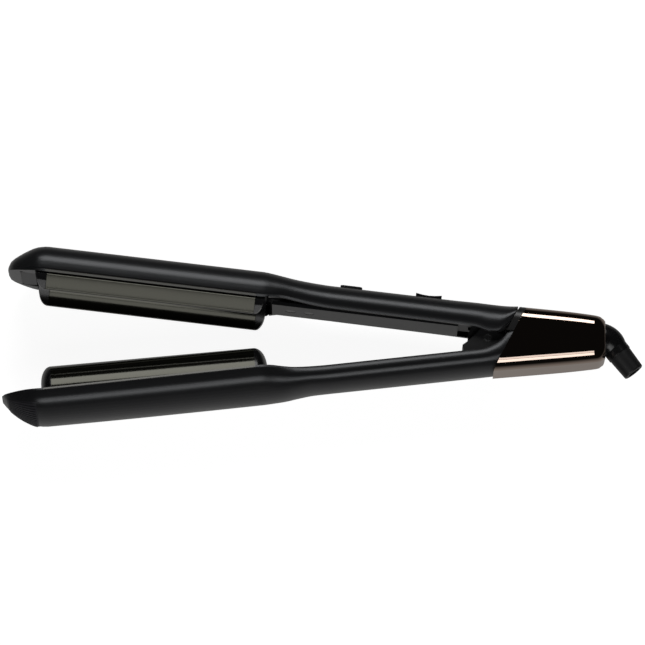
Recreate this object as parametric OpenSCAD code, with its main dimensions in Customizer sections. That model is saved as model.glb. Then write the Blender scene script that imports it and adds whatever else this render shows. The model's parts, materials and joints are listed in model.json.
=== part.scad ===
// Hair waver (a crimper with one round wave): two hinged arms, a round heated bar on
// the lower arm that nests in a heated channel on the upper arm, a mirror rear cap
// and a swivelling cord elbow. The tool lies on its side.
// X runs from the tips (-X) to the cord (+X), Y is the opening direction, Z is the hinge pin's.

/* [Head] */
// Width of the wave head, along the hinge pin
head_w = 43; // [41:0.5:46]
// Radius of the heated bar on the lower arm
bar_r = 15.7; // [15:0.1:16]
// Radial gap between the bar and the channel when the arms are closed
nest_gap = 0.7; // [0.5:0.1:1]
// Length of the heated plates
plate_len = 102; // [90:1:110]

/* [Arms] */
// Angle of the lower arm below the tool's long axis
lower_tilt = 6.2; // [5:0.1:8]
// Angle of the upper arm above the tool's long axis, with the arms open
upper_tilt = 6.9; // [5:0.1:8]
// Width of the handles
handle_w = 30; // [28:0.5:32]
// Wall of the plastic shells
wall = 1.8; // [1.5:0.1:2]

/* [Rear] */
// Length of the mirror cap behind the hinge pin
cap_end = 57.3; // [52:0.5:62]
// Radius of the swivelling elbow's neck
neck_r = 8.1; // [7.5:0.1:8.2]
// Bend of the swivelling elbow
bend_angle = 52.7; // [40:0.5:60]
// Radius of the hole for the cord
cord_r = 3.3; // [3:0.1:3.6]

/* [Hidden] */
$fn = 64;
eps = 0.02;

// The hinge pin's place in the tool, which centres the whole tool on the origin
pin_x = 80.07;
pin_y = -2.05;
half_w = head_w / 2;

// The plates, along an arm from the hinge pin (tips at -X)
plate_front = -216;
plate_rear = plate_front + plate_len;
bar_front = plate_front + 3;
bar_len = plate_rear - bar_front;
channel_r = bar_r + nest_gap;
// Height of the bar's axis outside the closing line, on the lower arm's side
bar_axis = 5.3;
// The bar sinks this much towards its rear end
bar_tilt = 0.9;
lip_w = -3.7;

// The handle covers, their screws and the parts between them
cover_t = 1.8;
cover_lower_w = 6;
cover_upper_w = 3.6;
lower_posts = [-97, -48];
upper_posts = [-97, -88];
grip_len = 9.4;
power_x = -68.8;
power_travel = 0.8;
rocker_x = -30.8;
rocker_w = 12.6;
board_w = 8.6;

// The hinge
pin_r = 2;
bush_r = 3.2;
knuckle_r = 9.6;
knuckle_z = 6.8;
cheek_in = 7.1;
cheek_out = 9.3;
spring_z = 3;

// The swivel
swivel_y = 0.9;
elbow_x = 57.5;
elbow_end_r = 6.1;
inner_r = 0.3;
sleeve_r = 5.75;
sleeve_start = 3.6;
sleeve_len = 11.1;

// The cap's wall and the collar in front of it
cap_wall = 1.6;
collar_len = 3.5;
collar_y = 2.5;

// Outer sections of each arm, from tip to rear:
// [x, inner height, outer height, inner half width, outer half width, inner r, outer r]
upper_stations = [
    [-236, 6.2, 8.6, 5.5, 5, 0.8, 1],
    [-235, 5.3, 10.6, 10, 9.5, 1.5, 2],
    [-231.5, 4.8, 13, 14.5, 13.8, 1.8, 3],
    [-227, 4.5, 15.9, 18, 17.4, 1.8, 4.5],
    [-222.5, 4.4, 18, half_w - 0.9, half_w - 1, 1.8, 5.6],
    [-217, 4.4, 18.9, half_w, half_w, 1.8, 6.4],
    [-112, 4.4, 18.9, half_w, half_w, 1.8, 6.4],
    [-107.5, 4.2, 18.6, half_w - 0.9, half_w - 0.5, 1.8, 6.4],
    [-101, 3.6, 18.2, 16, 18, 1.8, 7],
    [-95, 3.35, 17.7, 13, 16.2, 1.8, 7.4],
    [-86, 3.35, 17.4, 12.6, handle_w / 2, 1.8, 8],
    [-6, 3.1, 17.4, 12.6, handle_w / 2, 1.8, 8],
    [0, 1.5, 17.4, 12, handle_w / 2, 1.5, 7.5],
    [4.7, 2.1, 17.4, 12, handle_w / 2, 1.5, 7],
    [8.6, 6.1, 17.4, 13, handle_w / 2, 1.5, 5],
    [13, 11.6, 17.4, 14, handle_w / 2, 1, 3]
];
lower_stations = [
    [-237.5, 2.8, 4.5, 5.5, 5, 0.8, 0.8],
    [-236, 3.1, 6.5, 10.5, 9.8, 1.5, 1.6],
    [-232, 3.4, 10.4, 15, 14, 1.8, 3],
    [-227, 3.6, 13.9, 18.4, 17.6, 1.8, 4],
    [-222, 4, 16, half_w - 0.8, half_w - 1, 1.8, 5],
    [-217, 4.2, 16.8, half_w, half_w, 1.8, 5.6],
    [-112, 4.2, 17.4, half_w, half_w, 1.8, 5.6],
    [-107.5, 4.4, 17.4, half_w - 0.9, half_w - 0.5, 1.8, 5.8],
    [-101, 5.3, 17.3, 16.5, 18, 1.8, 6.4],
    [-95, 5.8, 16.8, 13.6, 16.2, 1.8, 6.8],
    [-86, 6, 16.2, 12.6, handle_w / 2, 1.8, 6.8],
    [-14, 6, 16.2, 12.6, handle_w / 2, 1.8, 6.8],
    [-4, 6, 16.2, 12.6, handle_w / 2, 1.8, 6.8],
    [4.5, 3.8, 16.2, 12.6, handle_w / 2, 1.8, 6.8],
    [10.5, -1, 16.2, 12.6, handle_w / 2, 1.8, 6.8],
    [14, -3, 16.2, 12.6, handle_w / 2, 1.8, 6.8]
];

// ---- helpers ----
module in_tool() translate([pin_x, pin_y, half_w]) children();
module on_upper() in_tool() rotate([0, 0, -upper_tilt]) children();
module on_lower() in_tool() rotate([0, 0, lower_tilt]) mirror([0, 1, 0]) children();
module on_bar() on_lower() translate([bar_front, bar_axis, 0]) rotate([0, 0, bar_tilt]) children();
module at_swivel() in_tool() translate([0, swivel_y, 0]) children();

// Points on a quarter circle of radius r about [h, c], from angle a
function corner(h, c, r, a) = [for (i = [0:4]) [h + r * cos(a + i * 22.5), c + r * sin(a + i * 22.5)]];
// One section of an arm as [x, points], from a station
function arm_section(s) = [s[0], concat(
    corner(s[2] - s[6], s[4] - s[6], s[6], 0),
    corner(s[1] + s[5], s[3] - s[5], s[5], 90),
    corner(s[1] + s[5], -s[3] + s[5], s[5], 180),
    corner(s[2] - s[6], -s[4] + s[6], s[6], 270)
)];
// The same section made smaller by a wall, and open towards the other arm
function inner_section(s) = arm_section([
    s[0], s[1] - 3, s[2] - wall, s[3] - wall, s[4] - wall, 0.3, max(s[6] - wall, 0.3)
]);

// A section of the cap as [x, points] from [x, low, high, half width, corner radius], made smaller by t
function cap_section(s, t) = let (low = s[1] + s[4], high = s[2] - s[4], half = s[3] - s[4], r = s[4] - t)
    [s[0] - t, concat(corner(high, half, r, 0), corner(low, half, r, 90), corner(low, -half, r, 180),
        corner(high, -half, r, 270))];

// A solid through a list of sections
module loft(sections) {
    n = len(sections[0][1]);
    m = len(sections);
    points = [for (s = sections) for (p = s[1]) [s[0], p[0], p[1]]];
    sides = [
        for (i = [0:m - 2]) for (j = [0:n - 1])
            let (a = i * n + j, b = i * n + (j + 1) % n)
            for (f = [[a, b + n, b], [a, a + n, b + n]]) f
    ];
    front = [[for (j = [0:n - 1]) j]];
    back = [[for (j = [n - 1:-1:0]) (m - 1) * n + j]];
    polyhedron(points = points, faces = concat(sides, front, back));
}

// A flat outline [x, height] made into a slab of the given half width
module slab(half) translate([0, 0, -half]) linear_extrude(2 * half) children();

// A section [across, height] drawn out along X
module along_x(x0, x1)
    translate([x1, 0, 0])
        rotate([0, -90, 0])
            linear_extrude(x1 - x0) children();

module box_between(a, b) translate(a) cube(b - a);

// ---- shells ----
// An open tray with two screw posts that stand on its outer wall, and room for a tip insert
module arm_shell(stations, cover_w, posts, post_top, tip_x) {
    difference() {
        union() {
            difference() {
                loft([for (s = stations) arm_section(s)]);
                loft([for (s = stations) if (s[0] > -221 && s[0] < 5) inner_section(s)]);
            }
            for (x = posts)
                translate([x, cover_w, 0]) rotate([-90, 0, 0]) cylinder(r = 3, h = post_top - cover_w);
        }
        for (x = posts)
            translate([x, cover_w - 1, 0]) rotate([-90, 0, 0]) cylinder(r = 1.3, h = 14 - cover_w);
        box_between([tip_x, -5, -13], [-216, 9.5, 13]);
    }
}

module lower_outer_shell() color("#2c2e2f") {
    difference() {
        on_lower() difference() {
            arm_shell(lower_stations, cover_lower_w + cover_t + 0.05, lower_posts, 15.2, -229.5);
            box_between([-220.8, -5, -19.6], [-216, 7.2, 19.6]);
            box_between([-114.2, -5, -19.6], [-107.8, 9, 19.6]);
            box_between([-13, -12, -13.2], [18, 13.95, 13.2]);
            grip_frame() box_between([-0.1, -1.35, -11.1], [grip_len + 0.1, 4, 11.1]);
        }
        behind_slant(-0.03);
        collar_space(0.05);
    }
}

module upper_outer_shell() color("#2a2a2d") difference() {
    on_upper() difference() {
        arm_shell(upper_stations, cover_upper_w + cover_t + 0.05, upper_posts, 16.4, -229.5);
        for (x = [-221.9, -114.2]) {
            box_between([x, -5, -19.6], [x + 6.4, 9.9, 19.6]);
            box_between([x, -5, -18.95], [x + 6.4, 11.6, 18.95]);
            box_between([x, -5, -16.8], [x + 6.4, 13.2, 16.8]);
        }
        box_between([-14, -12, -cheek_out - 0.6], [14, 9, cheek_out + 0.6]);
        box_between([-14, -12, -13], [9, 14.2, 13]);
        button_outline(power_x, 10.7 + 0.7, 12 + 0.7, 2, 13, 22);
        box_between([rocker_x - 6.7, 13, -6.35], [rocker_x + 6.7, 22, 6.35]);
    }
    behind_slant(-collar_len - 0.45);
}

// ---- lower arm ----
module inner_cover(x0, x1, w0, half, posts) {
    difference() {
        box_between([x0, w0, -half], [x1, w0 + cover_t, half]);
        for (x = posts) translate([x, w0, 0]) rotate([-90, 0, 0]) {
            cylinder(r = 1.3, h = 20, center = true);
            cylinder(r = 2.45, h = 2.2, center = true);
        }
    }
}
module cover_screws(w0, posts)
    for (x = posts) translate([x, w0 + 0.1, 0]) rotate([-90, 0, 0]) {
        cylinder(r = 2.3, h = 0.95);
        cylinder(r = 1.2, h = 6.5);
    }

module lower_inner_cover() color("#26282a")
    on_lower() inner_cover(-106, -16, cover_lower_w, 10.4, lower_posts);
module upper_inner_cover() color("#2b2b2d")
    on_upper() inner_cover(-106, -15, cover_upper_w, 10.4, upper_posts);
module lower_arm_screws() color("#8d9094")
    on_lower() cover_screws(cover_lower_w, lower_posts);
module upper_arm_screws() color("#8d9094")
    on_upper() cover_screws(cover_upper_w, upper_posts);

// A block that fills the tip behind the nose, shown on the side of the other arm
module tip_block(w0, depth, end)
    slab(12.8)
        polygon([[-229.3, w0 + 1], [-228.3, w0], [end, w0], [end, w0 + depth], [-229.3, w0 + depth]]);
module lower_tip_insert() color("#242628")
    on_lower() tip_block(3.9, 5.4, -219.6);
module upper_tip_insert() color("#303236")
    on_upper() button_outline(-225.75, 7.3, 25.4, 2.5, 4.7, 9.2);

// A ribbed pad set into the outer slope of the lower tip
module grip_frame() translate([-231.7, 10.7, 0]) rotate([0, 0, 34.6]) children();
module lower_tip_grip() color("#3a3c44") on_lower() grip_frame() {
    box_between([0, -1.3, -11], [grip_len, -0.2, 11]);
    for (i = [0:6])
        box_between([0.3, -0.3, i * 3.2 - 10.3], [grip_len - 0.3, 0.35, i * 3.2 - 8.9]);
}

// The heated bar: a half tube with two flat feet
module lower_wave_bar() color("#8c8b80") on_bar() {
    difference() {
        along_x(0, bar_len) union() {
            intersection() {
                circle(r = bar_r);
                translate([-20, -20]) square([40, 20.7]);
            }
            translate([-half_w + 2.2, 0]) square([head_w - 4.4, 1.4]);
        }
        translate([-1, 0, 0]) rotate([0, 90, 0]) cylinder(r = bar_r - 2, h = bar_len + 2);
        box_between([-1, 0, -bar_r + 2], [bar_len + 1, 3, bar_r - 2]);
    }
}

// A rounded black end for the bar, turned about the bar's axis and cut flat at its feet
module bar_end(long) {
    intersection() {
        rotate([0, 90, 0])
            rotate_extrude()
                polygon(concat(
                    [[0, 0]],
                    [for (a = [0:15:90]) [bar_r - 9 + 9 * cos(a), long * sin(a)]],
                    [[0, long]]
                ));
        box_between([-1, -20, -20], [long + 1, 1.4, 20]);
    }
}
module lower_front_end_cap() color("#1b1c1d")
    on_bar() translate([-eps, 0, 0]) mirror([1, 0, 0]) bar_end(5.2);
module lower_rear_end_cap() color("#1b1c1d")
    on_bar() translate([bar_len + eps, 0, 0]) bar_end(6);

// Heat-proof tray under the plate
module carrier(w0, w1, half) {
    difference() {
        box_between([plate_front + 1, w0, -half], [plate_rear + 5, w1, half]);
        box_between([plate_front + 3, w0 - 1, -half + 2], [plate_rear + 3, w1 - 1.2, half - 2]);
    }
}
module lower_plate_carrier() color("#55504a")
    on_lower() carrier(bar_axis + 3.4, 12.9, 14.2);
module lower_heat_spreader() color("#a9abad") on_bar() intersection() {
    translate([5, 0, 0]) rotate([0, 90, 0]) cylinder(r = bar_r - 2.05, h = 88);
    box_between([0, -20, -20], [100, -bar_axis, 20]);
}
module lower_heater() color("#c9c2b2")
    on_bar() box_between([7, 0.05 - bar_axis, -6.5], [89, 2.6 - bar_axis, 6.5]);
module lower_heater_clamp() color("#9aa0a4") on_bar() {
    box_between([9, 2.65 - bar_axis, -7.5], [87, 3.4 - bar_axis, 7.5]);
    for (x = [15, 73]) box_between([x, 3.3 - bar_axis, -1], [x + 8, 4.9, 1]);
}

// ---- rear ----
// The cap along X: [x, low, high, half width, corner radius]
cap_stations = [
    [0, -16.7, 17.2, 15.2, 7.5],
    [16, -15.4, 15.5, 15.2, 7.5],
    [50, -12.2, 11.7, 14.4, 7],
    [54.8, -11.5, 10.8, 13.6, 6.6],
    [56.8, -10.2, 9.5, 12, 6],
    [cap_end, -9.2, 8.5, 10.8, 5.4]
];
module cap_solid() in_tool() loft([for (s = cap_stations) cap_section(s, 0)]);
// The slanting plane that parts the cap from the arms and the collar
module behind_slant(x0) in_tool()
    translate([x0 + 11.4, 0, 0]) rotate([0, 0, -27.5])
        box_between([0, -60, -30], [90, 60, 30]);
module rear_space() in_tool()
    loft([for (s = cap_stations) if (s[0] < 56) cap_section(s, cap_wall)]);
module bronze_cap() color("#6f5f55") difference() {
    intersection() {
        cap_solid();
        behind_slant(0);
    }
    rear_space();
    at_swivel() translate([44, 0, 0]) rotate([0, 90, 0]) cylinder(r = neck_r + 1.3, h = 20);
}
module cap_end_ring() color("#3b3a3a") at_swivel()
    translate([55, 0, 0]) rotate([0, 90, 0]) difference() {
        cylinder(r = neck_r + 1.3 - eps, h = cap_end - 55 + 0.2);
        translate([0, 0, -1]) cylinder(r = neck_r + 0.3, h = 5);
    }

// The room that the collar takes above the lower arm's shell
module collar_space(gap) intersection() {
    behind_slant(-collar_len - gap);
    in_tool() box_between([-20, collar_y - gap, -40], [60, 60, 40]);
}
module rear_collar() color("#262626") difference() {
    intersection() {
        cap_solid();
        collar_space(0);
    }
    behind_slant(-0.03);
    rear_space();
}

// The frame that carries the hinge pin and fills the cap
module cheek_outline() {
    circle(r = 5.6);
    polygon([
        [-12.5, 12], [-12.5, 2.2], [-9.8, 0.7], [-4.4, -3.4], [6, -1.4], [15.6, 2], [15.6, 9], [12, 12]
    ]);
}
module rear_chassis() color("#3a3d40") difference() {
    union() {
        on_lower() {
            for (side = [-1, 1])
                translate([0, 0, side * (cheek_in + cheek_out) / 2 - (cheek_out - cheek_in) / 2])
                    linear_extrude(cheek_out - cheek_in) cheek_outline();
            box_between([-12.5, 2.2, -cheek_out], [-10.9, 12, cheek_out]);
            box_between([-38, 11.9, -cheek_out], [12, 13.8, cheek_out]);
        }
        in_tool() difference() {
            box_between([14.2, -9.2, -10.6], [44.8, 8.7, 10.6]);
            box_between([12, -7.6, -9], [43, 7.3, 9]);
        }
    }
    on_lower() for (z = [-6, 6])
        translate([-32, 0, z]) rotate([-90, 0, 0]) cylinder(r = 1.3, h = 20);
    in_tool() cylinder(r = pin_r, h = 40, center = true);
    at_swivel() translate([40, 0, 0]) rotate([0, 90, 0]) cylinder(r = 7.5, h = 10);
    in_tool() translate([0, 0, -knuckle_z - 0.25]) cylinder(r = knuckle_r + 0.4, h = 2 * knuckle_z + 0.5);
}
module chassis_screws() color("#8d9094") on_lower() for (z = [-6, 6])
    translate([-32, 0, z]) rotate([-90, 0, 0]) {
        translate([0, 0, 10.7]) cylinder(r = 2.3, h = 1.2);
        translate([0, 0, 10.7]) cylinder(r = 1.2, h = 3.1);
    }
module hinge_pin() color("#a8abae")
    in_tool() cylinder(r = pin_r, h = 2 * cheek_out, center = true);
module mains_terminal_block() color("#d9d4c6") in_tool() difference() {
    box_between([18, -7.55, -8.4], [30, -1, 8.4]);
    for (z = [-4.5, 4.5]) translate([24, -7, z]) rotate([-90, 0, 0]) cylinder(r = 1.8, h = 10);
}

// A coil round the pin
spring_turns = 4;
spring_steps = 16;
wire_r = 0.6;
coil_r = 4.4;
function coil_point(i) = let (a = 170 + i * 360 / spring_steps)
    [coil_r * cos(a), coil_r * sin(a), -2.3 + 4.6 * i / (spring_turns * spring_steps - 3)];
module torsion_spring() color("#b5b8ba") in_tool() {
    path = [for (i = [0:spring_turns * spring_steps - 3]) coil_point(i)];
    n = 8;
    rings = [for (p = path) let (a = atan2(p[1], p[0])) for (k = [0:n - 1]) let (b = k * 360 / n)
        [p[0] + wire_r * cos(b) * cos(a), p[1] + wire_r * cos(b) * sin(a), p[2] + wire_r * sin(b)]];
    m = len(path);
    polyhedron(points = rings, faces = concat(
        [for (i = [0:m - 2]) for (k = [0:n - 1]) let (a = i * n + k, b = i * n + (k + 1) % n)
            for (f = [[a, b, b + n], [a, b + n, a + n]]) f],
        [[for (k = [n - 1:-1:0]) k]],
        [[for (k = [0:n - 1]) (m - 1) * n + k]]));
}

// ---- swivel ----
module swivel_socket() color("#1e1f20") at_swivel()
    translate([45, 0, 0]) rotate([0, 90, 0]) difference() {
        union() {
            cylinder(r = neck_r + 0.9, h = 9.9);
            cylinder(r = neck_r + 1.25, h = 2);
        }
        translate([0, 0, -1]) cylinder(r = 5.55, h = 13);
    }
module slip_ring_plate() color("#7a5c3a") at_swivel()
    translate([36.4, 0, 0]) rotate([0, 90, 0]) difference() {
        cylinder(r = 6.2, h = 1.6);
        translate([0, 0, -1]) cylinder(r = 1.6, h = 4);
    }
module swivel_retainer() color("#9b9ea1") at_swivel()
    translate([43.3, 0, 0]) rotate([0, 90, 0]) difference() {
        cylinder(r = 7.2, h = 1.4);
        translate([0, 0, -1]) cylinder(r = 5.5, h = 4);
    }
module slip_rings() color("#c49a45") at_swivel() rotate([0, 90, 0])
    for (x = [39, 41]) translate([0, 0, x]) difference() {
        cylinder(r = 6.1, h = 1.2);
        translate([0, 0, -1]) cylinder(r = 5.5, h = 4);
    }
// The elbow turns about a point just under its inner corner, and gets thinner as it turns
bend_steps = 8;
function bend_radius(a) = neck_r + (elbow_end_r - neck_r) * a / bend_angle;
function bend_centre(a) = let (d = bend_radius(a) + inner_r)
    [elbow_x + d * sin(a), -neck_r - inner_r + d * cos(a)];
module at_bend(a) at_swivel() translate([bend_centre(a)[0], bend_centre(a)[1], 0])
    rotate([0, 0, -a]) children();
// A ring of points round the centre c, facing along the direction a
ring_points = 24;
function ring(c, a, r) = [for (k = [0:ring_points - 1]) let (up = r * cos(k * 360 / ring_points))
    [c[0] + up * sin(a), c[1] + up * cos(a), r * sin(k * 360 / ring_points)]];
elbow_stem_x = 38.4;
elbow_neck_x = 55.1;
module swivel_elbow() color("#1f2022") at_swivel() {
    bore_r = cord_r + 0.2;
    angles = [for (i = [0:bend_steps]) i * bend_angle / bend_steps];
    last = bend_centre(bend_angle);
    mouth = [last[0] + sleeve_start * cos(bend_angle), last[1] - sleeve_start * sin(bend_angle)];
    rings = concat(
        [ring([elbow_stem_x, 0], 0, 5.5), ring([elbow_neck_x, 0], 0, 5.5)],
        [ring([elbow_neck_x, 0], 0, neck_r)],
        [for (a = angles) ring(bend_centre(a), a, bend_radius(a))],
        [ring(mouth, bend_angle, elbow_end_r), ring(mouth, bend_angle, bore_r)],
        [for (i = [bend_steps:-1:0]) ring(bend_centre(angles[i]), angles[i], bore_r)],
        [ring([elbow_stem_x, 0], 0, bore_r)]
    );
    n = ring_points;
    m = len(rings);
    polyhedron(
        points = [for (r = rings) for (p = r) p],
        faces = [for (i = [0:m - 1]) for (k = [0:n - 1])
            let (a = i * n + k, b = i * n + (k + 1) % n)
            let (c = (i + 1) % m * n + (k + 1) % n, d = (i + 1) % m * n + k)
            for (f = [[a, c, b], [a, d, c]]) f]
    );
}
module cord_sleeve() color("#1d1d1f") at_bend(bend_angle)
    translate([sleeve_start, 0, 0]) rotate([0, 90, 0]) difference() {
        cylinder(r1 = sleeve_r, r2 = sleeve_r - 0.5, h = sleeve_len);
        translate([0, 0, -1]) cylinder(r = cord_r, h = sleeve_len + 2);
    }

// ---- upper arm ----
// The channel's section: side walls that lean in to thin lips, round a half circle
module channel_outline() difference() {
    polygon([[-16.7, lip_w], [-17.8, -3.5], [-20.9, 3], [-20.8, 3.4], [-19.4, 3.6], [-19.4, 9.5], [-15, 12.9],
             [15, 12.9], [19.4, 9.5], [19.4, 3.6], [20.8, 3.4], [20.9, 3], [17.8, -3.5], [16.7, lip_w]]);
    translate([0, -bar_axis]) circle(r = channel_r);
}
module upper_wave_channel() color("#8c8b80")
    on_upper() along_x(plate_front, plate_rear) channel_outline();
// A rounded black end for the channel: its side outline is a quarter ellipse
module channel_end(x0, long) intersection() {
    along_x(min(x0, x0 + long), max(x0, x0 + long)) channel_outline();
    slab(20) polygon(concat(
        [[x0 + long, 12.9], [x0, 12.9]],
        [for (a = [-90:15:0]) [x0 + long * cos(a), 6 + (6 - lip_w) * sin(a)]]));
}
module upper_front_end_cap() color("#1b1c1d")
    on_upper() channel_end(plate_front - eps, -5.6);
module upper_rear_end_cap() color("#1b1c1d")
    on_upper() channel_end(plate_rear + eps, 4.4);
module upper_plate_carrier() color("#55504a") on_upper() difference() {
    box_between([-214, 12.95, -12], [-116, 15.8, 12]);
    box_between([-208, 12, -8.5], [-122, 17, 8.5]);
}
module upper_heater() color("#c9c2b2")
    on_upper() box_between([-206, 12.95, -6.5], [-124, 14.5, 6.5]);
module upper_heater_clamp() color("#9aa0a4")
    on_upper() box_between([-204, 14.55, -7.5], [-126, 15.2, 7.5]);

module upper_hinge_frame() color("#44474a") on_upper() difference() {
    union() {
        for (z = [-knuckle_z, spring_z + 0.4])
            translate([0, 0, z]) {
                cylinder(r = knuckle_r, h = knuckle_z - spring_z - 0.4);
                box_between([-16, 5.5, 0], [0, 8.4, knuckle_z - spring_z - 0.4]);
            }
        box_between([-60, 5.5, -knuckle_z], [-10, 8.4, knuckle_z]);
    }
    cylinder(r = bush_r, h = 30, center = true);
}
module hinge_bushes() color("#b08a4a") on_upper()
    for (z = [-knuckle_z, spring_z + 0.4]) translate([0, 0, z]) difference() {
        cylinder(r = bush_r, h = knuckle_z - spring_z - 0.4);
        translate([0, 0, -1]) cylinder(r = pin_r + 0.05, h = 8);
    }
module control_board() color("#2f5b3a") on_upper()
    box_between([-83, board_w, -8], [-16, board_w + 1.2, 8]);
switch_top = 12.4;
module tact_switches() color("#2b2b2b") on_upper()
    for (x = [power_x, rocker_x - 4.6, rocker_x + 4.6]) {
        box_between([x - 1.7, board_w + 1.2, -3], [x + 1.7, switch_top - 0.6, 3]);
        translate([x, switch_top - 0.7, 0]) rotate([-90, 0, 0]) cylinder(r = 0.9, h = 0.7);
    }
module button_spring() color("#b5b8ba") on_upper()
    translate([power_x, board_w + 1.2, 0]) rotate([-90, 0, 0]) difference() {
        cylinder(r = 4.4, h = 3.9);
        translate([0, 0, -1]) cylinder(r = 3.7, h = 6);
    }
module thermal_fuse() color("#c8ccd0") on_upper()
    translate([-112, 14.1, 8]) rotate([0, 90, 0]) cylinder(r = 1.1, h = 9);
// A rounded block standing outwards from the handle
module button_outline(x, long, wide, r, w0, w1)
    translate([x, w0, 0]) rotate([-90, 0, 0]) linear_extrude(w1 - w0)
        hull() for (i = [-1, 1]) for (j = [-1, 1])
            translate([i * (long / 2 - r), j * (wide / 2 - r)]) circle(r = r, $fn = 32);
module power_button() color("#2b2c2f") on_upper() {
    button_outline(power_x, 10.7, 12, 1.7, 13.75, 18.5);
    translate([power_x, switch_top + power_travel + 0.1, 0]) rotate([-90, 0, 0])
        cylinder(r = 2, h = 1);
}
module rocker_cradle() color("#44474a") on_upper() {
    for (side = [-1, 1]) difference() {
        translate([0, 0, side * 7.3])
            box_between([rocker_x - 2, board_w + 1.2, -0.6], [rocker_x + 2, rocker_w + 0.9, 0.6]);
        translate([rocker_x, rocker_w, 0]) cylinder(r = 0.95, h = 30, center = true);
    }
}
module rocker_pin() color("#a8abae") on_upper()
    translate([rocker_x, rocker_w, 0]) cylinder(r = 0.95, h = 15.8, center = true);
module temperature_rocker() color("#141416") on_upper() translate([rocker_x, rocker_w, 0])
    difference() {
        union() {
            slab(6) polygon([
                [-6.3, 1.4], [6.3, 1.4], [6.3, 6.3], [3.2, 5.8], [0, 5.6], [-3.2, 5.8], [-6.3, 6.3]
            ]);
            slab(2.4) polygon([[-1.4, 0], [1.4, 0], [2, 2], [-2, 2]]);
            cylinder(r = 2, h = 5, center = true);
        }
        cylinder(r = 1, h = 20, center = true);
    }

lower_outer_shell();
lower_inner_cover();
lower_tip_insert();
lower_tip_grip();
lower_wave_bar();
lower_front_end_cap();
lower_rear_end_cap();
lower_plate_carrier();
lower_heat_spreader();
lower_heater();
lower_heater_clamp();
lower_arm_screws();
rear_chassis();
rear_collar();
bronze_cap();
cap_end_ring();
hinge_pin();
torsion_spring();
swivel_socket();
slip_ring_plate();
chassis_screws();
mains_terminal_block();
upper_outer_shell();
upper_inner_cover();
upper_tip_insert();
upper_wave_channel();
upper_front_end_cap();
upper_rear_end_cap();
upper_plate_carrier();
upper_heater();
upper_heater_clamp();
upper_arm_screws();
upper_hinge_frame();
hinge_bushes();
control_board();
tact_switches();
button_spring();
thermal_fuse();
rocker_cradle();
rocker_pin();
power_button();
temperature_rocker();
swivel_elbow();
swivel_retainer();
slip_rings();
cord_sleeve();
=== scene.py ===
import json
import math

import bmesh
import bpy
from mathutils import Matrix, Vector


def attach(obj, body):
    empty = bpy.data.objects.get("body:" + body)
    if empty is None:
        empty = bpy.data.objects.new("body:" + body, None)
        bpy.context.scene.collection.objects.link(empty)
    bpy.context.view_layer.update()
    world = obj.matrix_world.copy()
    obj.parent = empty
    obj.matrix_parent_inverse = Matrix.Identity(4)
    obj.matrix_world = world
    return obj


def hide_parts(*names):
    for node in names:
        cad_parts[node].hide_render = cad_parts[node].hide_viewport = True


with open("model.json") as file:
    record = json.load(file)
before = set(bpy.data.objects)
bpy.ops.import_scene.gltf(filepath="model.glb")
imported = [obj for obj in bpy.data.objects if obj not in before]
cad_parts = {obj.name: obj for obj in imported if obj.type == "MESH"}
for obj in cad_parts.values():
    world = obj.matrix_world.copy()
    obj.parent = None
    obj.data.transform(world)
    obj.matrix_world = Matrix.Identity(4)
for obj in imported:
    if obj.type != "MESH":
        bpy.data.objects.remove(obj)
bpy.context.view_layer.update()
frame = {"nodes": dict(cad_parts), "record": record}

# Lengths are in millimetres in each arm's own frame, and MM turns them into metres.
# An arm's frame has its origin on the hinge pin: x along the arm (tips at -x), y away from
# the other arm, z along the pin.
MM = 0.001
JOINTS = {j["name"]: j for j in frame["record"]["behaviour"]["joints"]}
PIN = Vector(JOINTS["jaw"]["pos_m"]) / MM
UPPER_TILT = 6.9
LOWER_TILT = 6.2
TOOL = Matrix.Scale(MM, 4) @ Matrix.Translation(PIN)
UPPER = TOOL @ Matrix.Rotation(math.radians(-UPPER_TILT), 4, "Z")
MIRROR_Y = Matrix.Diagonal((1, -1, 1, 1))
LOWER = TOOL @ Matrix.Rotation(math.radians(LOWER_TILT), 4, "Z") @ MIRROR_Y
SWIVEL = TOOL @ Matrix.Translation((0, Vector(JOINTS["cord_turn"]["pos_m"])[1] / MM - PIN.y, 0))

HALF_W = 21.5
PLATE_FRONT = -216
PLATE_REAR = -114
BAR_FRONT = -213
BAR_AXIS = 5.3
BAR_TILT = 0.9
BAR_R = 15.7
CHANNEL_R = 16.4
LIP_W = -3.7
WALL = 1.8


# ---- camera, floor and light ----
VIEW_ELEVATION = math.radians(76.5)
VIEW_AZIMUTH = math.radians(-1)
VIEW_DISTANCE = 3.0
VIEW_WIDTH = 0.3146
LOOK_AT = Vector((-0.13, 7.7, 21.5)) * MM


def view_axis():
    flat = math.cos(VIEW_ELEVATION)
    across = math.sin(VIEW_AZIMUTH) * flat
    return Vector((across, -math.cos(VIEW_AZIMUTH) * flat, math.sin(VIEW_ELEVATION)))


def add_camera():
    data = bpy.data.cameras.new("camera")
    camera = bpy.data.objects.new("camera", data)
    bpy.context.scene.collection.objects.link(camera)
    bpy.context.scene.camera = camera
    axis = view_axis()
    right = (Vector((1, 0, 0)) - axis.x * axis).normalized()
    turn = Matrix((right, axis.cross(right), axis)).transposed().to_4x4()
    camera.matrix_world = Matrix.Translation(LOOK_AT + VIEW_DISTANCE * axis) @ turn
    data.sensor_width = 36
    data.lens = data.sensor_width * VIEW_DISTANCE / VIEW_WIDTH
    data.clip_end = 30


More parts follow.
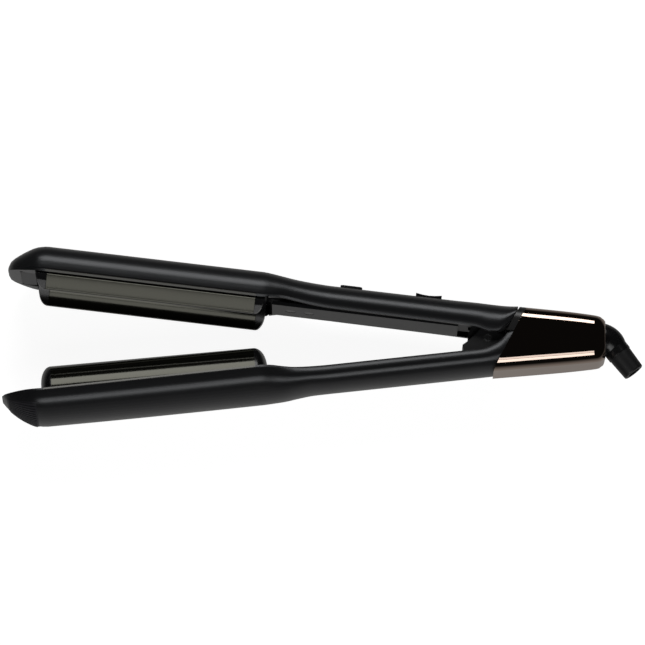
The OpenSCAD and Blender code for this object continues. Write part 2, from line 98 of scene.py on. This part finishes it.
def add_floor():
    mesh = bpy.data.meshes.new("floor")
    size = 4
    corners = [(-size, -size, 0), (size, -size, 0), (size, size, 0), (-size, size, 0)]
    mesh.from_pydata(corners, [], [(0, 1, 2, 3)])
    floor = bpy.data.objects.new("floor", mesh)
    bpy.context.scene.collection.objects.link(floor)
    floor.location.z = -0.0002
    material = bpy.data.materials.new("floor")
    material.use_nodes = True
    shader = material.node_tree.nodes["Principled BSDF"]
    shader.inputs["Base Color"].default_value = (0.3, 0.3, 0.3, 1)
    shader.inputs["Roughness"].default_value = 0.9
    shader.inputs["Specular IOR Level"].default_value = 0.1
    shader.inputs["Emission Color"].default_value = (1, 1, 1, 1)
    shader.inputs["Emission Strength"].default_value = 0.93
    mesh.materials.append(material)
    floor.visible_glossy = False


def add_softbox(name, angle, width, length, power):
    """A long softbox above the tool, angle degrees from straight up towards +Y."""
    data = bpy.data.lights.new(name, "AREA")
    data.shape = "RECTANGLE"
    data.size = length
    data.size_y = width
    data.energy = power
    light = bpy.data.objects.new(name, data)
    bpy.context.scene.collection.objects.link(light)
    a = math.radians(angle)
    away = Vector((0, math.sin(a), math.cos(a)))
    light.matrix_world = Matrix.Translation(away + Vector((0, 0, 0.02))) @ Matrix.Rotation(-a, 4, "X")


def add_world():
    """Dark above and paler towards the floor."""
    world = bpy.data.worlds.new("studio")
    bpy.context.scene.world = world
    world.use_nodes = True
    nodes = world.node_tree.nodes
    links = world.node_tree.links
    place = nodes.new("ShaderNodeTexCoord")
    along = nodes.new("ShaderNodeVectorMath")
    along.operation = "DOT_PRODUCT"
    along.inputs[1].default_value = (0, 0, -1)
    ramp = nodes.new("ShaderNodeMapRange")
    ramp.inputs["From Min"].default_value = 0.15
    ramp.inputs["From Max"].default_value = 0.75
    ramp.inputs["To Min"].default_value = 0.006
    ramp.inputs["To Max"].default_value = 0.3
    links.new(place.outputs["Generated"], along.inputs[0])
    links.new(along.outputs["Value"], ramp.inputs["Value"])
    background = nodes["Background"]
    background.inputs["Color"].default_value = (1, 0.99, 0.97, 1)
    links.new(ramp.outputs["Result"], background.inputs["Strength"])


add_camera()
add_floor()
add_softbox("softbox far", 48, 0.44, 0.9, 4.4)
add_softbox("softbox near", -36.5, 0.23, 0.9, 1.15)
add_softbox("softbox near low", -55, 0.35, 0.9, 2.4)
add_world()
bpy.context.scene.view_settings.view_transform = "Standard"


# ---- materials ----
def material(name, color, roughness, metallic=0.0, specular=0.5, tint=(1, 1, 1),
             grain=0.0, sheen=0.0, wear=0.03):
    """A procedural finish: fine grain in the surface and a slight change of gloss over it."""
    m = bpy.data.materials.new(name)
    m.use_nodes = True
    nodes = m.node_tree.nodes
    links = m.node_tree.links
    shader = nodes["Principled BSDF"]
    shader.inputs["Base Color"].default_value = (*color, 1)
    shader.inputs["Metallic"].default_value = metallic
    shader.inputs["Specular IOR Level"].default_value = specular
    shader.inputs["Specular Tint"].default_value = (*tint, 1)
    shader.inputs["Sheen Weight"].default_value = sheen
    shader.inputs["Sheen Roughness"].default_value = 0.4
    place = nodes.new("ShaderNodeTexCoord")
    cloud = nodes.new("ShaderNodeTexNoise")
    cloud.inputs["Scale"].default_value = 60
    cloud.inputs["Detail"].default_value = 3
    spread = nodes.new("ShaderNodeMapRange")
    spread.inputs["To Min"].default_value = max(roughness - wear, 0.01)
    spread.inputs["To Max"].default_value = roughness + wear
    links.new(place.outputs["Object"], cloud.inputs["Vector"])
    links.new(cloud.outputs["Fac"], spread.inputs["Value"])
    links.new(spread.outputs["Result"], shader.inputs["Roughness"])
    if grain:
        speck = nodes.new("ShaderNodeTexNoise")
        speck.inputs["Scale"].default_value = 2500
        bump = nodes.new("ShaderNodeBump")
        bump.inputs["Strength"].default_value = grain
        bump.inputs["Distance"].default_value = 0.00005
        links.new(place.outputs["Object"], speck.inputs["Vector"])
        links.new(speck.outputs["Fac"], bump.inputs["Height"])
        links.new(bump.outputs["Normal"], shader.inputs["Normal"])
    return m


FINISH = {
    "graphite_plastic": material(
        "graphite plastic", (0.0095, 0.0097, 0.0105), 0.3, tint=(0.95, 0.97, 1), grain=0.25, sheen=0.06),
    "dark_plastic": material("dark plastic", (0.009, 0.0095, 0.0105), 0.38, grain=0.2),
    "grip_rubber": material("grip rubber", (0.011, 0.011, 0.014), 0.5, grain=0.3),
    "plate_coating": material(
        "plate coating", (0.004, 0.004, 0.003), 0.12, specular=0.6, tint=(1, 0.99, 0.84), wear=0.02),
    "rim_metal": material(
        "rim metal", (0.01, 0.01, 0.009), 0.2, specular=0.6, tint=(1, 0.99, 0.93), wear=0.02),
    "black_plastic": material("black plastic", (0.006, 0.006, 0.0065), 0.24),
    "carrier_plastic": material("carrier plastic", (0.02, 0.018, 0.016), 0.5),
    "bare_aluminium": material("bare aluminium", (0.6, 0.61, 0.62), 0.35, metallic=1),
    "heater_ceramic": material("heater ceramic", (0.6, 0.57, 0.5), 0.6),
    "steel": material("steel", (0.5, 0.51, 0.52), 0.25, metallic=1),
    "frame_plastic": material("frame plastic", (0.012, 0.0122, 0.013), 0.42, grain=0.2),
    "collar_gloss": material("collar gloss", (0.016, 0.0155, 0.0155), 0.3),
    "bronze_mirror": material("bronze mirror", (0.47, 0.37, 0.31), 0.035, metallic=1, wear=0.01),
    "ring_gloss": material("ring gloss", (0.05, 0.047, 0.045), 0.15, metallic=0.6),
    "laminate_brown": material("laminate", (0.2, 0.12, 0.05), 0.5),
    "terminal_plastic": material("terminal plastic", (0.7, 0.66, 0.56), 0.45),
    "bush_brass": material("brass", (0.55, 0.38, 0.15), 0.3, metallic=1),
    "board_green": material("board", (0.03, 0.12, 0.06), 0.4),
    "button_plastic": material("button plastic", (0.012, 0.0122, 0.013), 0.3),
    "sleeve_rubber": material("sleeve rubber", (0.009, 0.009, 0.0095), 0.42, grain=0.2),
}


# ---- building meshes ----
def smooth_rows(stations, step):
    """Rows between given stations, on monotone cubic curves, about step mm apart."""
    xs = [s[0] for s in stations]
    count = len(stations[0])
    gaps = [xs[i + 1] - xs[i] for i in range(len(xs) - 1)]
    slopes = []
    for k in range(count):
        rise = [(stations[i + 1][k] - stations[i][k]) / gaps[i] for i in range(len(gaps))]
        slope = [rise[0]]
        for i in range(1, len(gaps)):
            if rise[i - 1] * rise[i] <= 0:
                slope.append(0)
            else:
                w1 = 2 * gaps[i] + gaps[i - 1]
                w2 = gaps[i] + 2 * gaps[i - 1]
                slope.append((w1 + w2) / (w1 / rise[i - 1] + w2 / rise[i]))
        slope.append(rise[-1])
        slopes.append(slope)
    rows = []
    for i, gap in enumerate(gaps):
        parts = max(1, round(gap / step))
        for j in range(parts):
            t = j / parts
            h1 = 2 * t**3 - 3 * t**2 + 1
            h2 = t**3 - 2 * t**2 + t
            h3 = -2 * t**3 + 3 * t**2
            h4 = t**3 - t**2
            rows.append([
                h1 * stations[i][k] + h2 * gap * slopes[k][i]
                + h3 * stations[i + 1][k] + h4 * gap * slopes[k][i + 1]
                for k in range(count)
            ])
    rows.append(list(stations[-1]))
    return rows


def outline(points, facing, arcs, count):
    """Half an outline of (height, across) points: the given ones, then arcs of (radius, angle) that turn
    until the surface faces angle degrees from across, then an arc to the crest on the middle line."""
    points = [Vector(p) for p in points]
    turn = math.radians(facing)
    for radius, angle in arcs + [(None, 90)]:
        radius = radius or points[-1].y / math.cos(turn)
        end = math.radians(angle)
        parts = max(2, round(math.degrees(end - turn) / 4))
        first = points[-1]
        for i in range(1, parts + 1):
            a = turn + (end - turn) * i / parts
            step = Vector((math.sin(a) - math.sin(turn), math.cos(a) - math.cos(turn)))
            points.append(first + radius * step)
        turn = end
    return resample(points, count)


def resample(points, count):
    """Points at even distances along a line."""
    lengths = [0]
    for a, b in zip(points, points[1:]):
        lengths.append(lengths[-1] + (b - a).length)
    result = []
    k = 0
    for i in range(count):
        d = lengths[-1] * i / (count - 1)
        while k < len(points) - 2 and lengths[k + 1] < d:
            k += 1
        t = (d - lengths[k]) / max(lengths[k + 1] - lengths[k], 1e-9)
        result.append(points[k].lerp(points[k + 1], min(max(t, 0), 1)))
    return result


def unit(points):
    """The outline scaled so that its height runs from 0 to 1 and its largest half width is 1."""
    low = points[0].x
    high = points[-1].x
    half = max(p.y for p in points)
    return [Vector(((p.x - low) / (high - low), p.y / half)) for p in points]


def loft(rings):
    """A mesh through rings of points, closed at both ends."""
    bm = bmesh.new()
    rows = [[bm.verts.new(p) for p in ring] for ring in rings]
    n = len(rows[0])
    for a, b in zip(rows, rows[1:]):
        for j in range(n):
            k = (j + 1) % n
            bm.faces.new((a[j], a[k], b[k], b[j]))
    bm.faces.new(list(reversed(rows[0])))
    bm.faces.new(rows[-1])
    bmesh.ops.recalc_face_normals(bm, faces=bm.faces)
    return bm


def box(a, b):
    """A box between two corners."""
    bm = bmesh.new()
    bmesh.ops.create_cube(bm, size=1)
    centre = (Vector(a) + Vector(b)) / 2
    size = Vector(b) - Vector(a)
    for v in bm.verts:
        v.co = centre + Vector((v.co.x * size.x, v.co.y * size.y, v.co.z * size.z))
    return bm


def tube(rings_of):
    """A closed tube whose rings run out along the outside and back along the bore."""
    bm = bmesh.new()
    rows = [[bm.verts.new(p) for p in ring] for ring in rings_of]
    n = len(rows[0])
    for i, a in enumerate(rows):
        b = rows[(i + 1) % len(rows)]
        for j in range(n):
            k = (j + 1) % n
            bm.faces.new((a[j], a[k], b[k], b[j]))
    bmesh.ops.recalc_face_normals(bm, faces=bm.faces)
    return bm


def as_object(name, bm, place):
    """Makes an object of a mesh drawn in one of the frames above."""
    bm.transform(place)
    bmesh.ops.recalc_face_normals(bm, faces=bm.faces)
    mesh = bpy.data.meshes.new(name)
    bm.to_mesh(mesh)
    bm.free()
    o = bpy.data.objects.new(name, mesh)
    bpy.context.scene.collection.objects.link(o)
    return o


def apply_modifiers(o):
    seen = o.evaluated_get(bpy.context.evaluated_depsgraph_get())
    mesh = bpy.data.meshes.new_from_object(seen)
    o.modifiers.clear()
    o.data = mesh


def carve(o, bm, place, how="DIFFERENCE"):
    """Cuts a mesh out of o, or keeps only what they share."""
    tool = as_object("tool", bm, place)
    modifier = o.modifiers.new("carve", "BOOLEAN")
    modifier.operation = how
    modifier.solver = "EXACT"
    modifier.object = tool
    apply_modifiers(o)
    bpy.data.objects.remove(tool)


def cut_plane(o, place, point, normal):
    """Cuts away what lies on the normal's side of a plane, and closes the cut."""
    bm = bmesh.new()
    bm.from_mesh(o.data)
    turned = place.to_3x3().inverted().transposed() @ Vector(normal)
    cut = bmesh.ops.bisect_plane(
        bm, geom=bm.verts[:] + bm.edges[:] + bm.faces[:], plane_co=place @ Vector(point),
        plane_no=turned.normalized(), clear_outer=True, dist=1e-7)
    edges = [e for e in cut["geom_cut"] if isinstance(e, bmesh.types.BMEdge)]
    bmesh.ops.contextual_create(bm, geom=edges)
    bmesh.ops.recalc_face_normals(bm, faces=bm.faces)
    bm.to_mesh(o.data)
    bm.free()


def dress(o, slot, body, nodes=(), bevel=0.0, finish=None, smooth=32):
    """Gives a piece its finish, its soft edges, its body and the CAD nodes that it stands for."""
    o.data.materials.clear()
    o.data.materials.append(FINISH[finish or slot])
    soften(o, bevel, smooth)
    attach(o, body)
    if nodes:
        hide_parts(*nodes)


def soften(o, bevel, smooth):
    """Smooth shading with sharp edges kept, and a small bevel on them."""
    for p in o.data.polygons:
        p.use_smooth = True
    if bevel:
        m = o.modifiers.new("edges", "BEVEL")
        m.width = bevel * MM
        m.segments = 3
        m.limit_method = "ANGLE"
        m.angle_limit = math.radians(40)
        m.use_clamp_overlap = True
    o.data.set_sharp_from_angle(angle=math.radians(smooth))
    n = o.modifiers.new("normals", "WEIGHTED_NORMAL")
    n.keep_sharp = True


# ---- the arm shells ----
POINTS = 60
HEAD_UPPER = unit(outline([(4.4, 20.85), (5.8, 21.5)], 1, [(32, 8), (12.4, 78)], POINTS))
HEAD_LOWER = unit(outline([(4.4, 21.1), (5.4, 21.5)], 5, [(22, 14), (6, 37.5), (10, 60)], POINTS))
HANDLE_UPPER = unit(outline([(3.6, 13.6)], -22, [(11.8, 80)], POINTS))
HANDLE_LOWER = unit(outline([(5.7, 13.2)], -24, [(12, 5), (8, 37.5), (10, 57)], POINTS))

# Stations: x, rim height, crest height, half width, share of the handle's outline
UPPER_STATIONS = [
    [-236, 6.3, 9, 5.5, 0], [-235, 5.5, 11, 10, 0], [-231.5, 5, 14, 14.5, 0],
    [-227, 4.6, 17, 18, 0], [-222.5, 4.4, 19.2, HALF_W - 0.9, 0], [-217, 4.4, 20.1, HALF_W, 0],
    [-112, 4.4, 20.1, HALF_W, 0], [-107.5, 5, 19.8, 20.4, 0.1], [-101, 5.9, 19.1, 18.6, 0.4],
    [-95, 5.5, 18.5, 17.2, 0.7], [-86, 4.8, 18, 15.7, 0.95], [-78, 4.5, 17.8, 15, 1],
    [-20, 4.1, 17.8, 15, 1], [-6, 3.8, 18, 15, 1], [0, 2.6, 18, 15, 1],
    [4.7, 3, 18, 15, 1], [8.6, 6.5, 18, 15, 1], [13, 12, 18, 15, 1],
]
LOWER_STATIONS = [
    [-237.5, 2.8, 4.6, 5.5, 0], [-236, 3.1, 6.6, 10.5, 0], [-232, 3.4, 11, 15, 0],
    [-227, 3.6, 14.9, 18.4, 0], [-222, 4, 17.4, HALF_W - 0.8, 0], [-217, 4.3, 18.2, HALF_W, 0],
    [-112, 4.3, 18.9, HALF_W, 0], [-107.5, 4.4, 18.8, 20.4, 0.1], [-101, 5.3, 18.5, 18.6, 0.4],
    [-95, 6, 17.7, 17.2, 0.7], [-86, 6.2, 16.9, 15.7, 0.95], [-78, 6.2, 16.9, 15, 1],
    [-4, 6.2, 16.9, 15, 1], [4.5, 4, 16.9, 15, 1], [10.5, -1, 16.9, 15, 1],
    [14, -3, 16.9, 15, 1],
]


def arm_ring(row, head, handle, thinner=0.0, drop=0.0):
    """One closed ring of an arm: its outline and the same mirrored. thinner takes a wall off it."""
    x, low, high, half, share = row
    side = []
    for a, b in zip(head, handle):
        p = a.lerp(b, share)
        height = low + p.x * (high - low)
        across = p.y * half
        side.append((height, across))
    if thinner:
        side = [(low - drop, max(s[1] for s in side[:8]) - thinner)] + [
            (low + (h - low) * (high - thinner - low) / (high - low), c * (half - thinner) / half)
            for h, c in side]
    near = [Vector((x, h, c)) for h, c in side]
    far = [Vector((x, h, -c)) for h, c in reversed(side[:-1])]
    return near + far


def arm_solid(stations, head, handle, thinner=0.0, span=None):
    """An arm as a solid, or the room inside its wall over a span of x."""
    rows = smooth_rows(stations, 2.0)
    if span:
        rows = [r for r in rows if span[0] < r[0] < span[1]]
    return loft([arm_ring(r, head, handle, thinner, 3.0) for r in rows])


SLANT = math.radians(27.5)
SLANT_NORMAL = (math.cos(SLANT), -math.sin(SLANT), 0)
SLANT_X = 11.4


def cut_slant(o, offset, keep_front=True):
    """Cuts along the slanting plane that parts the cap from the arms, moved along x by offset."""
    normal = Vector(SLANT_NORMAL) * (1 if keep_front else -1)
    cut_plane(o, TOOL, (SLANT_X + offset, 0, 0), normal)


def make_upper_shell():
    o = as_object("upper_shell", arm_solid(UPPER_STATIONS, HEAD_UPPER, HANDLE_UPPER), UPPER)
    carve(o, arm_solid(UPPER_STATIONS, HEAD_UPPER, HANDLE_UPPER, WALL, (-221, 5)), UPPER)
    carve(o, box((-229.5, -5, -13), (-215, 9.5, 13)), UPPER)
    for x in (-221.9, -114.2):
        for height, half in ((9.9, 20.2), (11.6, 19), (13.2, 16.8)):
            carve(o, box((x, -5, -half), (x + 6.4, height, half)), UPPER)
    cut_slant(o, -4)
    dress(o, "graphite_plastic", "upper_arm", ["upper_outer_shell"], 0.2)
    gild_rim(o, UPPER, 6.4)


def make_lower_shell():
    o = as_object("lower_shell", arm_solid(LOWER_STATIONS, HEAD_LOWER, HANDLE_LOWER), LOWER)
    carve(o, arm_solid(LOWER_STATIONS, HEAD_LOWER, HANDLE_LOWER, WALL, (-221, 5)), LOWER)
    carve(o, box((-229.5, -5, -13), (-215, 9.5, 13)), LOWER)
    carve(o, box((-220.8, -5, -19.6), (-215, 7.2, 19.6)), LOWER)
    carve(o, box((-114.2, -5, -19.6), (-107.8, 9, 19.6)), LOWER)
    carve(o, box((5, -30, -13), (16, 13.6, 13)), LOWER)
    cut_slant(o, -0.05)
    dress(o, "graphite_plastic", "lower_arm", ["lower_outer_shell"], 0.2)
    gild_rim(o, LOWER, 5.2)


# The pad on the lower tip: where it lies along x, and from which share of the arm's height it starts
GRIP_FRONT = -235.7
GRIP_REAR = -221
GRIP_FROM = 0.45


def tip_skin(rows, first, last, proud):
    """A strip of skin over the lower tip between two points of its rings, proud of the shell."""
    rings = []
    for row in rows:
        outer = arm_ring(row, HEAD_LOWER, HANDLE_LOWER, -proud)[first:last + 1]
        inner = arm_ring(row, HEAD_LOWER, HANDLE_LOWER, 0.1)[first:last + 1]
        rings.append(outer + inner[::-1])
    return loft(rings)


def make_tip_grip():
    """A ribbed pad wrapped round the tip of the lower arm, its ribs running along the arm."""
    rows = [r for r in smooth_rows(LOWER_STATIONS, 0.8) if GRIP_FRONT < r[0] < GRIP_REAR]
    first = 1 + next(k for k, p in enumerate(HEAD_LOWER) if p.x > GRIP_FROM)
    last = len(arm_ring(rows[0], HEAD_LOWER, HANDLE_LOWER, 0.1)) - 1 - first
    pad = as_object("tip_grip", tip_skin(rows, first, last, 0.2), LOWER)
    dress(pad, "grip_rubber", "lower_arm", ["lower_tip_grip"], 0)
    ribs = bmesh.new()
    for k in range(first + 2, last - 3, 4):
        rib = bpy.data.meshes.new("rib")
        one = tip_skin(rows[1:-1], k, k + 2, 0.5)
        one.to_mesh(rib)
        one.free()
        ribs.from_mesh(rib)
        bpy.data.meshes.remove(rib)
    dress(as_object("tip_grip_ribs", ribs, LOWER), "grip_rubber", "lower_arm", (), 0)


# ---- plates ----
def extruded(points, x0, x1):
    """A closed outline of (height, across) points drawn out along x."""
    return loft([[Vector((x, h, c)) for h, c in points] for x in (x0, x1)])


def arc(height, across, radius, start, end, parts):
    """Points on an arc, with angles in degrees from the height axis towards across."""
    return [
        (height + radius * math.cos(math.radians(start + (end - start) * i / parts)),
         across + radius * math.sin(math.radians(start + (end - start) * i / parts)))
        for i in range(parts + 1)
    ]


def channel_points():
    """The channel's section: a round groove inside, and slanting cheeks outside."""
    wall = [(LIP_W, 16.7), (LIP_W, 17.5), (-3.3, 18), (0, 19.65), (3, 20.9), (3.4, 20.8)]
    wall += [(3.6, 19.4), (9.5, 19.4), (12.9, 15)]
    rise = math.degrees(math.acos((LIP_W + BAR_AXIS) / CHANNEL_R))
    inner = arc(-BAR_AXIS, 0, CHANNEL_R, -rise, rise, 72)
    return wall + [(h, -c) for h, c in reversed(wall)] + inner


def make_channel():
    o = as_object("wave_channel", extruded(channel_points(), PLATE_FRONT, PLATE_REAR), UPPER)
    dress(o, "plate_coating", "upper_arm", ["upper_wave_channel"], 0.15)


def make_channel_end(name, node, x0, long):
    """Black end of the channel, whose side outline is a quarter ellipse."""
    o = as_object(name, extruded(channel_points(), min(x0, x0 + long), max(x0, x0 + long)), UPPER)
    outline_points = [(x0 + long, 14), (x0 - long * 0.02, 14)]
    outline_points += [
        (x0 + long * math.cos(math.radians(a)), 6 + (6 - LIP_W) * math.sin(math.radians(a)))
        for a in range(-90, 1, 6)]
    block = loft([[Vector((x, h, z)) for x, h in outline_points] for z in (-20, 20)])
    carve(o, block, UPPER, "INTERSECT")
    dress(o, "black_plastic", "upper_arm", [node], 0.5)


BAR_TURN = Matrix.Rotation(math.radians(BAR_TILT), 4, "Z")
BAR = LOWER @ Matrix.Translation((BAR_FRONT, BAR_AXIS, 0)) @ BAR_TURN
BAR_LEN = PLATE_REAR - BAR_FRONT


def make_bar():
    """The half-round heated bar, with its feet in the shell."""
    foot = HALF_W - 2.2
    drop = 0.7
    rise = math.degrees(math.acos(-drop / BAR_R))
    points = arc(0, 0, -BAR_R, -rise, rise, 96)
    points += [(0, BAR_R * 0.99), (0, foot), (1.4, foot), (1.4, -foot), (0, -foot), (0, -BAR_R * 0.99)]
    o = as_object("wave_bar", extruded(points, 0, BAR_LEN), BAR)
    dress(o, "plate_coating", "lower_arm", ["lower_wave_bar"], 0)


def make_bar_end(name, node, place, long):
    """A rounded black end, turned about the bar's axis."""
    rings = []
    edge = 9
    for i in range(13):
        a = math.radians(90 * i / 12)
        r = BAR_R - edge + edge * math.cos(a)
        x = long * math.sin(a)
        rings.append([Vector((x, -r * math.sin(b), r * math.cos(b)))
                      for b in (math.radians(-5 + 190 * k / 48) for k in range(49))])
    o = as_object(name, loft(rings), place)
    dress(o, "black_plastic", "lower_arm", [node], 0, smooth=50)


def gild_rim(o, arm, edge):
    """The chamfers along the opening are bare metal: the faces that look back over it."""
    o.data.materials.append(FINISH["rim_metal"])
    back = arm.inverted()
    turn = back.to_3x3()
    for p in o.data.polygons:
        c = back @ p.center
        n = (turn.inverted().transposed() @ p.normal).normalized()
        on_edge = PLATE_FRONT < c.x < PLATE_REAR and abs(c.z) > 18 and c.y < edge
        if on_edge and -0.6 < n.y < -0.2 and abs(n.z) > 0.6:
            p.material_index = 1


# ---- rear ----
# Stations: x, lowest and highest y, half width, corner radius
CAP_WALL = 1.6
CAP_STATIONS = [
    [0, -16.7, 17.2, 15.2, 7.5], [16, -15.4, 15.5, 15.2, 7.5], [50, -12.2, 11.7, 14.4, 7],
    [54.8, -11.5, 10.8, 13.6, 6.6], [56.8, -10.2, 9.5, 12, 6], [57.3, -9.2, 8.5, 10.8, 5.4],
]


def cap_ring(row):
    x, low, high, half, r = row
    points = []
    for h, c, start in ((high - r, half - r, 0), (low + r, half - r, 90), (low + r, r - half, 180),
                        (high - r, r - half, 270)):
        points += arc(h, c, r, start, start + 90, 12)
    return [Vector((x, h, c)) for h, c in points]


def cap_solid(shrink=0.0):
    """The cap before it is cut along the slant, or the room inside its wall."""
    rows = smooth_rows(CAP_STATIONS, 1.5)
    if shrink:
        rows = [[x - CAP_WALL, a + shrink, b - shrink, c - shrink, r - shrink]
                for x, a, b, c, r in rows if x < 56]
    return loft([cap_ring(r) for r in rows])


def make_cap():
    o = as_object("bronze_cap_skin", cap_solid(), TOOL)
    carve(o, cap_solid(CAP_WALL), TOOL)
    cut_slant(o, 0, False)
    dress(o, "bronze_mirror", "lower_arm", ["bronze_cap"], 0.25)


def make_collar():
    o = as_object("collar_band", cap_solid(), TOOL)
    carve(o, cap_solid(CAP_WALL), TOOL)
    cut_slant(o, -3.5, False)
    cut_slant(o, -0.04)
    cut_plane(o, TOOL, (0, 2.5, 0), (0, -1, 0))
    dress(o, "collar_gloss", "lower_arm", ["rear_collar"], 0.2)


# ---- swivel ----
NECK_R = 8.1
ELBOW_END_R = 6.1
ELBOW_X = 57.5
INNER_R = 0.3
BEND = 52.7
SLEEVE_START = 3.6
SLEEVE_LEN = 11.1
SLEEVE_R = 5.75
STEM_R = 5.5
STEM_START = 38.4
STEM_END = 55.1
CORD_R = 3.3
BORE_R = CORD_R + 0.2


def swivel_ring(c, angle, r):
    """A ring of radius r about [x, y], turned about z by the bend's angle."""
    a = math.radians(angle)
    return [
        Vector((c[0] + r * math.cos(k) * math.sin(a), c[1] + r * math.cos(k) * math.cos(a), r * math.sin(k)))
        for k in (math.radians(i * 5) for i in range(72))]


def bend_centre(angle):
    """The middle of the elbow at an angle of its bend."""
    r = NECK_R + (ELBOW_END_R - NECK_R) * angle / BEND + INNER_R
    a = math.radians(angle)
    return (ELBOW_X + r * math.sin(a), -NECK_R - INNER_R + r * math.cos(a))


def past_bend(distance):
    """A point on the straight stretch after the bend."""
    c = bend_centre(BEND)
    a = math.radians(BEND)
    return (c[0] + distance * math.cos(a), c[1] - distance * math.sin(a))


def make_elbow():
    angles = [BEND * i / 24 for i in range(25)]
    rings = [swivel_ring((STEM_START, 0), 0, STEM_R), swivel_ring((STEM_END, 0), 0, STEM_R)]
    rings += [swivel_ring((STEM_END, 0), 0, NECK_R)]
    rings += [swivel_ring(bend_centre(a), a, NECK_R + (ELBOW_END_R - NECK_R) * a / BEND) for a in angles]
    rings += [swivel_ring(past_bend(SLEEVE_START), BEND, ELBOW_END_R),
              swivel_ring(past_bend(SLEEVE_START), BEND, BORE_R)]
    rings += [swivel_ring(bend_centre(a), a, BORE_R) for a in reversed(angles)]
    rings += [swivel_ring((STEM_START, 0), 0, BORE_R)]
    o = as_object("cord_elbow", tube(rings), SWIVEL)
    dress(o, "black_plastic", "cord_swivel", ["swivel_elbow"], 0.2, smooth=40)


def make_sleeve():
    start, end = SLEEVE_START, SLEEVE_START + SLEEVE_LEN
    rings = [
        swivel_ring(past_bend(start), BEND, SLEEVE_R), swivel_ring(past_bend(start + 0.6), BEND, SLEEVE_R),
        swivel_ring(past_bend(end - 0.7), BEND, 5.3), swivel_ring(past_bend(end - 0.2), BEND, 5.15),
        swivel_ring(past_bend(end), BEND, 4.7), swivel_ring(past_bend(end), BEND, CORD_R),
        swivel_ring(past_bend(start), BEND, CORD_R)]
    o = as_object("cord_sleeve_skin", tube(rings), SWIVEL)
    dress(o, "sleeve_rubber", "cord_swivel", ["cord_sleeve"], 0, smooth=50)


make_upper_shell()
make_lower_shell()
make_tip_grip()
make_channel()
make_channel_end("channel_front_end", "upper_front_end_cap", PLATE_FRONT - 0.02, -5.6)
make_channel_end("channel_rear_end", "upper_rear_end_cap", PLATE_REAR + 0.02, 4.4)
make_bar()
FLIP_X = Matrix.Diagonal((-1, 1, 1, 1))
BAR_START = BAR @ Matrix.Translation((-0.02, 0, 0)) @ FLIP_X
BAR_STOP = BAR @ Matrix.Translation((BAR_LEN + 0.02, 0, 0))
make_bar_end("bar_front_end", "lower_front_end_cap", BAR_START, 5.2)
make_bar_end("bar_rear_end", "lower_rear_end_cap", BAR_STOP, 6)
make_cap()
make_collar()
make_elbow()
make_sleeve()

SLOTS = {s["node"]: s["material_slot"] for s in frame["record"]["subparts"]}
for name, o in frame["nodes"].items():
    if o.hide_render:
        continue
    o.data.materials.clear()
    o.data.materials.append(FINISH["black_plastic" if name.endswith("arm_screws") else SLOTS[name]])
    m = o.modifiers.new("edges", "BEVEL")
    m.width = 0.2 * MM
    m.segments = 2
    m.limit_method = "ANGLE"
    m.angle_limit = math.radians(40)
